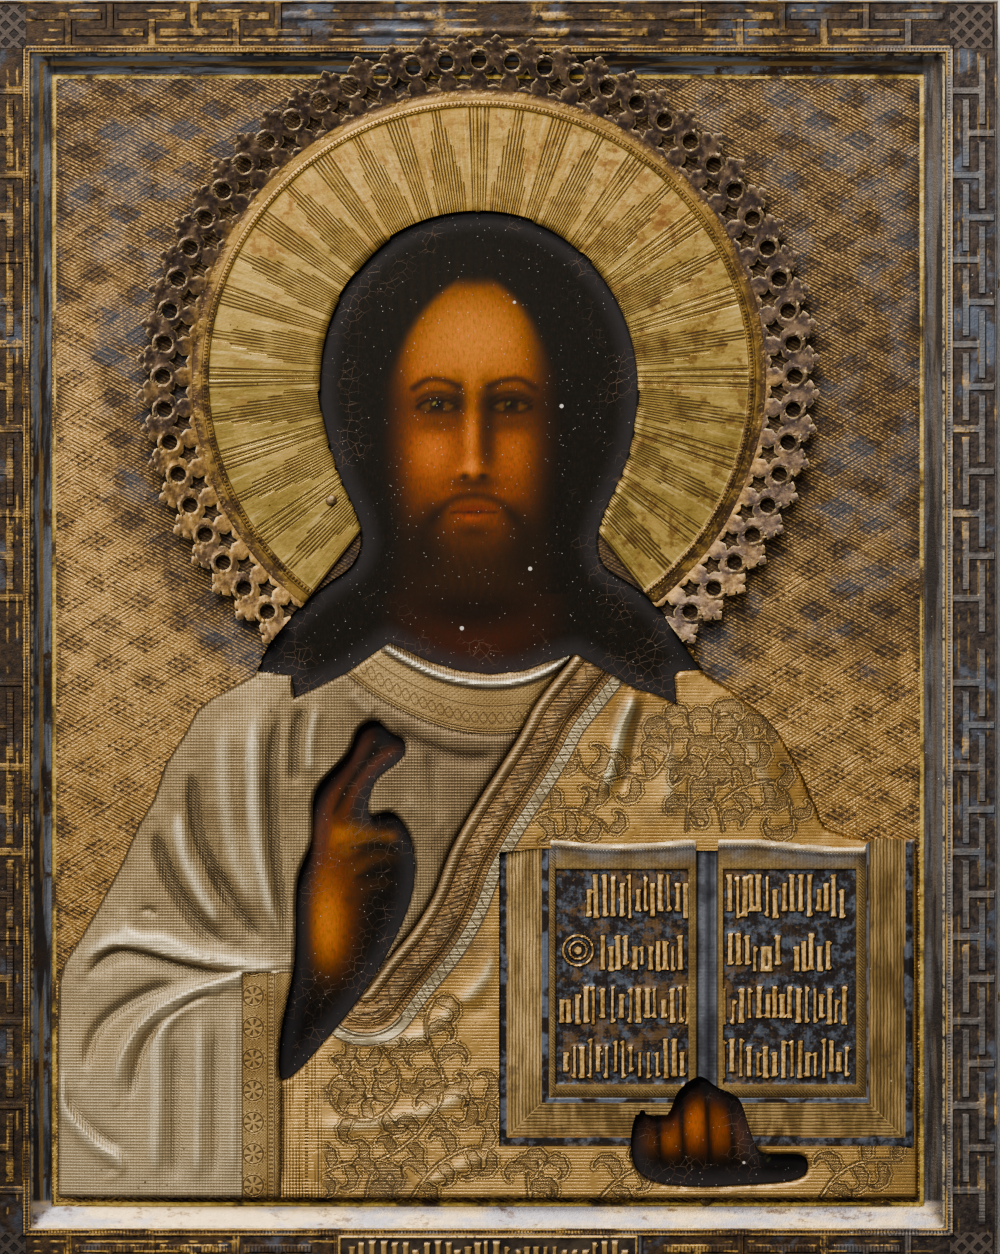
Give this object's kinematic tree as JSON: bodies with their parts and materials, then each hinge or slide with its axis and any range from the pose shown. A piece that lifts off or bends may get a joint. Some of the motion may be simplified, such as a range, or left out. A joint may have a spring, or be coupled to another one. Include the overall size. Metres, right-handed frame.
{
  "type": "icon panel",
  "caption": "Painted wooden icon panel in a stamped gilt cover with a key-pattern border, open windows over head and hands, and a pierced halo.",
  "frame": {"origin": "middle of the panel's back, where it rests when it lies face up", "axes": "+Z out of the picture, +Y towards the top of the picture, +X to the viewer's right"},
  "size_m": [0.1798, 0.2252, 0.0246],
  "materials": {
    "wood": "bare aged wood, dull",
    "paint": "dark varnished egg tempera over gesso, crackled",
    "gilt_cover": "stamped and chased sheet brass, gilt and silvered, tarnished",
    "halo_gilt": "polished gilt brass with engraved rays, browned at the pierced edge",
    "nail": "darkened brass nail, satin"
  },
  "bodies": {
    "root": {"board": "wood", "painting": "paint", "cover": "gilt_cover", "halo": "halo_gilt", "halo_nail": "nail", "field_nail": "nail", "side_nail_1": "nail", "side_nail_2": "nail", "side_nail_3": "nail", "side_nail_4": "nail", "side_nail_5": "nail", "side_nail_6": "nail", "side_nail_7": "nail", "side_nail_8": "nail"}
  },
  "joints": []
}
